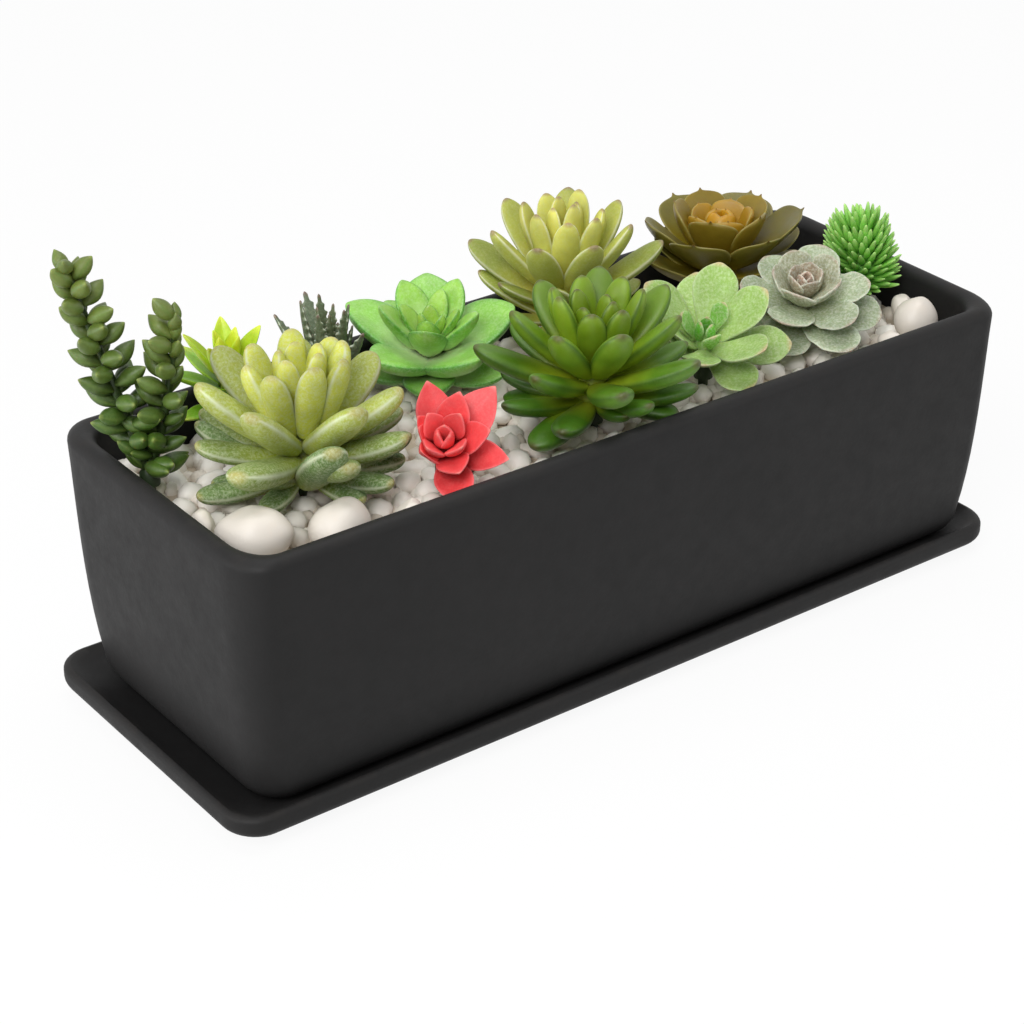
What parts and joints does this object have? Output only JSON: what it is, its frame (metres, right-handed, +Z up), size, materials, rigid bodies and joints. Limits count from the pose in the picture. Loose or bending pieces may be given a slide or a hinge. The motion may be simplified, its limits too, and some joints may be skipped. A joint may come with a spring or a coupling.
{
  "type": "planted rectangular ceramic planter",
  "caption": "Matte black rectangular ceramic trough on its own saucer, planted with artificial succulents on picks in foam under white pebbles, for a table or sill.",
  "frame": {"origin": "centre of the saucer's flat underside", "axes": "+X along the long side, +Z up, and -Y out of the front long side"},
  "size_m": [0.318, 0.1278, 0.1635],
  "materials": {
    "black_ceramic": "matte black, lightly burnished edges",
    "dry_foam": "matte open cell foam",
    "white_pebbles": "tumbled, smooth",
    "green_pick": "moulded, satin",
    "lime_sprout_leaf": "moulded soft vinyl, satin to dusty",
    "frosted_rosette_leaf": "moulded soft vinyl, satin to dusty",
    "toothed_haworthia_leaf": "moulded soft vinyl, satin to dusty",
    "green_echeveria_leaf": "moulded soft vinyl, satin to dusty",
    "coral_rosette_leaf": "moulded soft vinyl, satin to dusty",
    "pale_rosette_leaf": "moulded soft vinyl, satin to dusty",
    "green_rosette_leaf": "moulded soft vinyl, satin to dusty",
    "mint_rosette_leaf": "moulded soft vinyl, satin to dusty",
    "amber_rosette_leaf": "moulded soft vinyl, satin to dusty",
    "dusty_echeveria_leaf": "moulded soft vinyl, satin to dusty",
    "hedgehog_sedum_leaf": "moulded soft vinyl, satin to dusty",
    "trailing_sedum_leaf": "moulded soft vinyl, satin to dusty"
  },
  "bodies": {
    "saucer": {"saucer": "black_ceramic"},
    "pot": {"pot": "black_ceramic", "foam_block": "dry_foam", "gravel_bed": "white_pebbles", "corner_pebble": "white_pebbles", "front_pebble": "white_pebbles", "side_pebble": "white_pebbles", "middle_pebble": "white_pebbles", "round_pebble": "white_pebbles", "right_pebble": "white_pebbles", "end_pebble": "white_pebbles", "small_pebble": "white_pebbles"},
    "lime_sprout": {"lime_sprout": "lime_sprout_leaf", "lime_sprout_pick": "green_pick"},
    "frosted_rosette": {"frosted_rosette": "frosted_rosette_leaf", "frosted_rosette_pick": "green_pick"},
    "toothed_haworthia": {"toothed_haworthia": "toothed_haworthia_leaf", "toothed_haworthia_pick": "green_pick"},
    "green_echeveria": {"green_echeveria": "green_echeveria_leaf", "green_echeveria_pick": "green_pick"},
    "coral_rosette": {"coral_rosette": "coral_rosette_leaf", "coral_rosette_pick": "green_pick"},
    "pale_rosette": {"pale_rosette": "pale_rosette_leaf", "pale_rosette_pick": "green_pick"},
    "green_rosette": {"green_rosette": "green_rosette_leaf", "green_rosette_pick": "green_pick"},
    "mint_rosette": {"mint_rosette": "mint_rosette_leaf", "mint_rosette_pick": "green_pick"},
    "amber_rosette": {"amber_rosette": "amber_rosette_leaf", "amber_rosette_pick": "green_pick"},
    "dusty_echeveria": {"dusty_echeveria": "dusty_echeveria_leaf", "dusty_echeveria_pick": "green_pick"},
    "hedgehog_sedum": {"hedgehog_sedum": "hedgehog_sedum_leaf", "hedgehog_sedum_pick": "green_pick"},
    "trailing_sedum": {"trailing_sedum": "trailing_sedum_leaf", "trailing_sedum_pick": "green_pick"}
  },
  "joints": [
    {"name": "pot_lift", "type": "slide", "parent": "saucer", "child": "pot", "axis": [0, 0, 1], "range_m": [0, 0.15]},
    {"name": "lime_sprout_pull", "type": "slide", "parent": "pot", "child": "lime_sprout", "axis": [0, 0, 1], "range_m": [0, 0.12]},
    {"name": "frosted_rosette_pull", "type": "slide", "parent": "pot", "child": "frosted_rosette", "axis": [0, 0, 1], "range_m": [0, 0.12]},
    {"name": "toothed_haworthia_pull", "type": "slide", "parent": "pot", "child": "toothed_haworthia", "axis": [0, 0, 1], "range_m": [0, 0.12]},
    {"name": "green_echeveria_pull", "type": "slide", "parent": "pot", "child": "green_echeveria", "axis": [0, 0, 1], "range_m": [0, 0.12]},
    {"name": "coral_rosette_pull", "type": "slide", "parent": "pot", "child": "coral_rosette", "axis": [0, 0, 1], "range_m": [0, 0.12]},
    {"name": "pale_rosette_pull", "type": "slide", "parent": "pot", "child": "pale_rosette", "axis": [0, 0, 1], "range_m": [0, 0.12]},
    {"name": "green_rosette_pull", "type": "slide", "parent": "pot", "child": "green_rosette", "axis": [0, 0, 1], "range_m": [0, 0.12]},
    {"name": "mint_rosette_pull", "type": "slide", "parent": "pot", "child": "mint_rosette", "axis": [0, 0, 1], "range_m": [0, 0.12]},
    {"name": "amber_rosette_pull", "type": "slide", "parent": "pot", "child": "amber_rosette", "axis": [0, 0, 1], "range_m": [0, 0.12]},
    {"name": "dusty_echeveria_pull", "type": "slide", "parent": "pot", "child": "dusty_echeveria", "axis": [0, 0, 1], "range_m": [0, 0.12]},
    {"name": "hedgehog_sedum_pull", "type": "slide", "parent": "pot", "child": "hedgehog_sedum", "axis": [0, 0, 1], "range_m": [0, 0.12]},
    {"name": "trailing_sedum_pull", "type": "slide", "parent": "pot", "child": "trailing_sedum", "axis": [0, 0, 1], "range_m": [0, 0.12]}
  ]
}
